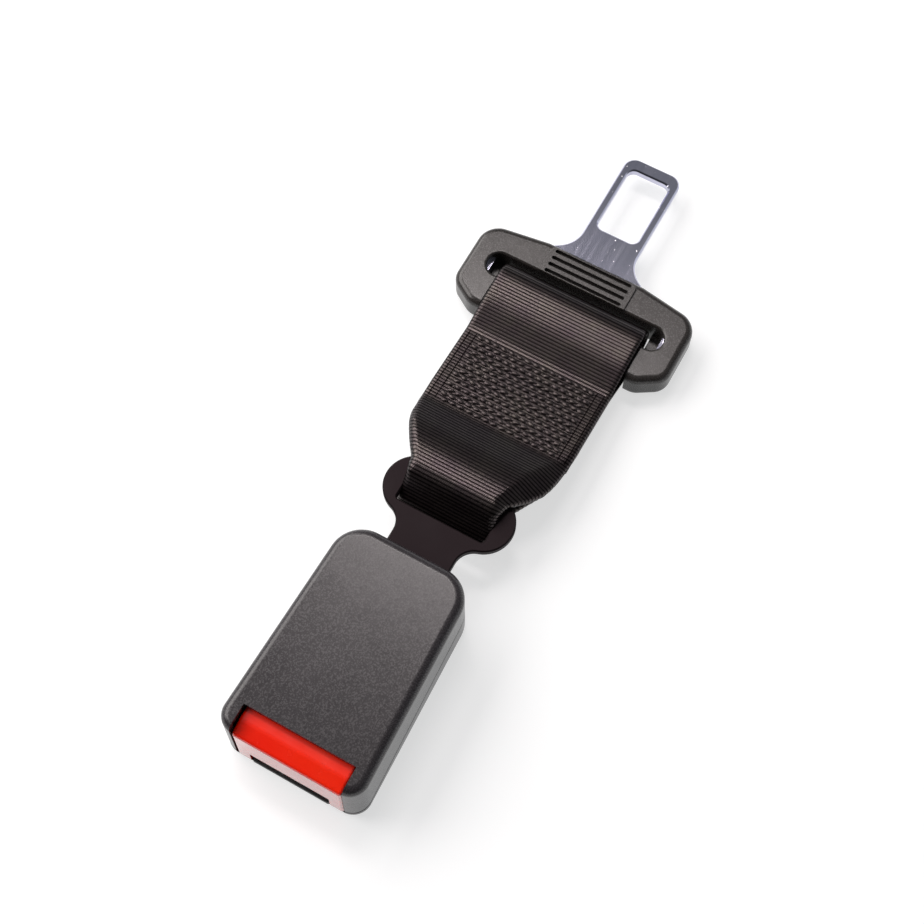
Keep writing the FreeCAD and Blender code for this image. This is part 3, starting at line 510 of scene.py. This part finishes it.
def rib_wave(s):
    """Rounded rib with a narrow groove, from 0 to 1."""
    return abs(math.cos(math.pi * s / rib_pitch)) ** rib_power


def make_webbing():
    """The loop round both bars, and the length of its middle line."""
    step = rib_pitch / rows_per_rib
    path, step = resample(loop_path(), step)
    path = smoothed(path, round(smooth_reach / step))
    count = len(path)
    pitch_fit = round(count * step / rib_pitch) * rib_pitch / (count * step)
    columns = round(2 * half_width / column_step)
    grid = []
    lay = []
    for r in range(count):
        x, z = path[r]
        ahead = path[(r + 1) % count]
        behind = path[r - 1]
        tangent = Vector((ahead[0] - behind[0], 0, ahead[1] - behind[1])).normalized()
        outward = Vector((-tangent.z, 0, tangent.x))
        section = cross_section(x - anchor.x, columns)
        s = r * step * pitch_fit
        grid.append([Vector((x, y, z)) - outward * inward for y, inward in section])
        lay.append([(s, -half_width + 2 * half_width * c / columns) for c in range(columns + 1)])
    obj = sheet_mesh("webbing_loop", grid, lay, True, rib_wave)
    obj.data.materials.append(finishes["webbing_polyester"])
    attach(obj, "strap")
    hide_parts("webbing")
    return obj, count * step


def make_overlap():
    """The webbing's two lapped ends, between the stack's top and bottom layers, and their length."""
    start = anchor.x + stack_start - lap_start
    end = anchor.x + stack_end
    step = rib_pitch / rows_per_rib
    rows = round((end - start) / step)
    columns = round(2 * half_width / column_step)
    grid = []
    lay = []
    for r in range(rows + 1):
        x = start + (end - start) * r / rows
        z = strap_height(x)
        line = []
        for c in range(columns + 1):
            y = -half_width + 2 * half_width * c / columns
            line.append(Vector((x, y * lap_share - lap_aside, z)))
        grid.append(line)
        lay.append([(x - start, line[c].y) for c in range(columns + 1)])
    obj = sheet_mesh("webbing_ends", grid, lay, False, rib_wave)
    obj.data.materials.append(finishes["webbing_polyester"])
    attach(obj, "strap")
    return obj, end - start


# Stitching


def bead(verts, faces, lays, centre, along, side, up, length, width, height):
    """One stitch: a flattened lens of thread lying on the webbing."""
    rings, segments = 5, 10
    base = len(verts)
    for i in range(1, rings):
        polar = math.pi * i / rings
        for j in range(segments):
            turn = math.tau * j / segments
            local = (math.cos(polar) * length / 2, math.sin(polar) * math.cos(turn) * width / 2,
                     math.sin(polar) * math.sin(turn) * height / 2)
            point = centre + along * local[0] + side * local[1] + up * local[2]
            verts.append(point * MM)
            lays.append((local[1] + centre.x, local[0] + centre.y, 0.0))
    for end in (1, -1):
        verts.append((centre + along * end * length / 2) * MM)
        lays.append((centre.x, centre.y + end * length / 2, 0.0))
    for i in range(rings - 2):
        for j in range(segments):
            k = (j + 1) % segments
            a = base + i * segments
            faces.append((a + j, a + segments + j, a + segments + k, a + k))
    tip = base + (rings - 1) * segments
    last = base + (rings - 2) * segments
    for j in range(segments):
        k = (j + 1) % segments
        faces.append((tip, base + j, base + k))
        faces.append((tip + 1, last + k, last + j))


def make_stitching():
    """Basket of staggered stitches, on the top and on the underside of the sewn stack."""
    slope = (bar.z - anchor.z) / (bar.x - anchor.x)
    run = Vector((1, 0, slope)).normalized()
    normal = Vector((-slope, 0, 1)).normalized()
    verts, faces, lays = [], [], []
    rows = round((stitch_end - stitch_start) / stitch_row_pitch)
    per_row = round(2 * stitch_half / stitch_step)
    for face in (1, -1):
        for r in range(rows):
            x = anchor.x + stitch_start + (r + 0.5) * (stitch_end - stitch_start) / rows
            surface = strap_height(x) + face * (layer_rise + sheet_thick / 2 - bead_sink)
            for c in range(per_row + r % 2):
                y = -stitch_half + (c + (0.0 if r % 2 else 0.5)) * stitch_step
                y = min(max(y, -stitch_half + bead_inset), stitch_half - bead_inset)
                centre = Vector((x + random.uniform(-0.08, 0.08), y + random.uniform(-0.12, 0.12),
                                 surface + face * bead_lift))
                turn = random.uniform(-0.12, 0.12) + bead_slants[r % 2]
                along = (Vector((0, 1, 0)) * math.cos(turn) + run * math.sin(turn)).normalized()
                side = along.cross(normal).normalized()
                bead(verts, faces, lays, centre, along, side, normal,
                     bead_long * random.uniform(0.92, 1.08), bead_wide * random.uniform(0.9, 1.08),
                     bead_high * random.uniform(0.85, 1.1))
    obj = mesh_object("stitch_block", verts, faces)
    write_lay(obj, lays)
    obj.data.materials.append(finishes["stitch_thread"])
    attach(obj, "strap")
    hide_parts("stitching")
    return obj


# Setting, light and camera

horizon_light = 0.9
ceiling_light = 0.2
near_side = 0.25          # light from behind the camera, against what comes from ahead
floor_half = 6.0          # metres
floor_drop = 0.0002       # metres, keeps the floor clear of the part's underside


def make_floor():
    corners = ((-1, -1), (1, -1), (1, 1), (-1, 1))
    verts = [(x * floor_half, y * floor_half, -floor_drop) for x, y in corners]
    floor = mesh_object("floor", verts, [(0, 1, 2, 3)], smooth=False)
    floor.data.materials.append(floor_material())


def eased_range(tree, value, low, high, to_low, to_high):
    """World node that eases from one value to another."""
    node = tree.nodes.new("ShaderNodeMapRange")
    node.interpolation_type = "SMOOTHSTEP"
    tree.links.new(value, node.inputs["Value"])
    for key, number in (("From Min", low), ("From Max", high), ("To Min", to_low), ("To Max", to_high)):
        node.inputs[key].default_value = number
    return node.outputs["Result"]


def make_world():
    """Studio room: pale round the horizon, dim overhead and behind the camera, which sees it white."""
    world = bpy.data.worlds.new("studio")
    bpy.context.scene.world = world
    world.use_nodes = True
    tree = world.node_tree
    background = tree.nodes["Background"]
    direction = tree.nodes.new("ShaderNodeTexCoord").outputs["Generated"]
    split = tree.nodes.new("ShaderNodeSeparateXYZ")
    tree.links.new(direction, split.inputs[0])
    height = eased_range(tree, split.outputs["Z"], 0.08, 0.35, horizon_light, ceiling_light)
    side = eased_range(tree, split.outputs["X"], -0.8, 0.1, near_side, 1.0)
    room = tree.nodes.new("ShaderNodeMath")
    room.operation = "MULTIPLY"
    tree.links.new(height, room.inputs[0])
    tree.links.new(side, room.inputs[1])
    seen = tree.nodes.new("ShaderNodeMath")
    seen.operation = "MAXIMUM"
    rays = tree.nodes.new("ShaderNodeLightPath")
    tree.links.new(rays.outputs["Is Camera Ray"], seen.inputs[0])
    tree.links.new(room.outputs[0], seen.inputs[1])
    tree.links.new(seen.outputs[0], background.inputs["Strength"])
    background.inputs["Color"].default_value = (0.93, 0.96, 1.0, 1.0)


def area_light(name, place, aim, size, watts, colour):
    light = bpy.data.lights.new(name, "AREA")
    light.shape = "RECTANGLE"
    light.size, light.size_y = size
    light.energy = watts
    light.color = colour
    obj = link(bpy.data.objects.new(name, light))
    obj.location = place
    back = (Vector(place) - Vector(aim)).normalized()
    across = (Vector((1, 0, 0)) - back * back.x).normalized()
    obj.rotation_euler = Matrix((across, back.cross(across), back)).transposed().to_euler()


def make_lights():
    area_light("key_light", (0.1, 0.95, 0.85), (0, 0, 0), (1.6, 0.9), 21.0, (1.0, 0.95, 0.93))
    area_light("ceiling_light", (0.87, 0.52, 2.31), (-0.04, 0, 0), (0.42, 0.8), 15.0,
               (1.0, 0.93, 0.92))


def make_camera():
    """Camera at the photograph's angle: seen from the buckle's end, high and a little to one side."""
    azimuth = math.radians(-150.07)
    elevation = math.radians(67.25)
    roll = -0.0131
    distance = 469.3 * MM
    shift = (-4.83 * MM, 3.23 * MM)
    centre_x = -5.15 * MM
    back = Vector((math.cos(azimuth) * math.cos(elevation), math.sin(azimuth) * math.cos(elevation),
                   math.sin(elevation)))
    right = Vector((-math.sin(azimuth), math.cos(azimuth), 0))
    up = back.cross(right)
    turned_right = right * math.cos(roll) + up * math.sin(roll)
    turned_up = up * math.cos(roll) - right * math.sin(roll)
    place = back * distance + turned_right * shift[0] + turned_up * shift[1]
    place.x += centre_x
    camera = bpy.data.cameras.new("camera")
    camera.sensor_width = 36.0
    camera.lens = 62.34
    obj = link(bpy.data.objects.new("camera", camera))
    columns = Matrix((turned_right, turned_up, back)).transposed()
    obj.matrix_world = Matrix.Translation(place) @ columns.to_4x4()
    camera.clip_start = 0.01
    bpy.context.scene.camera = obj


dress_frame()
loop, loop_length = make_webbing()
lap, lap_length = make_overlap()
stitches = make_stitching()
make_floor()
make_world()
make_lights()
make_camera()
bpy.context.scene.view_settings.view_transform = "Standard"
